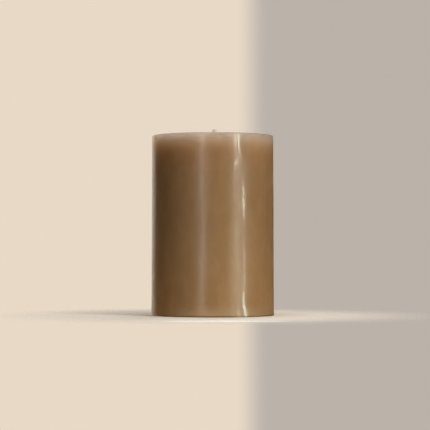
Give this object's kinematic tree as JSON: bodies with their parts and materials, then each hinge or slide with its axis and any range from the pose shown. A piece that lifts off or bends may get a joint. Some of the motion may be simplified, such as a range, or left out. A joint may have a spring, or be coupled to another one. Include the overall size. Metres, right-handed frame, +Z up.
{
  "type": "pillar candle",
  "caption": "Smooth cylindrical pillar candle of taupe wax with a shallow sunken top, and a cotton wick held by a crimped metal sustainer set in its flat base.",
  "frame": {"origin": "middle of the flat ring of wax that the candle stands on", "axes": "+Z up along the wick; the bare end of the wick leans towards +X; -Y faces the viewer of the picture"},
  "size_m": [0.075, 0.075, 0.114],
  "materials": {
    "wax": "satin",
    "cotton": "matte",
    "tinplate": "satin"
  },
  "bodies": {
    "root": {"wax_body": "wax", "wick": "cotton", "wick_sustainer": "tinplate"}
  },
  "joints": []
}
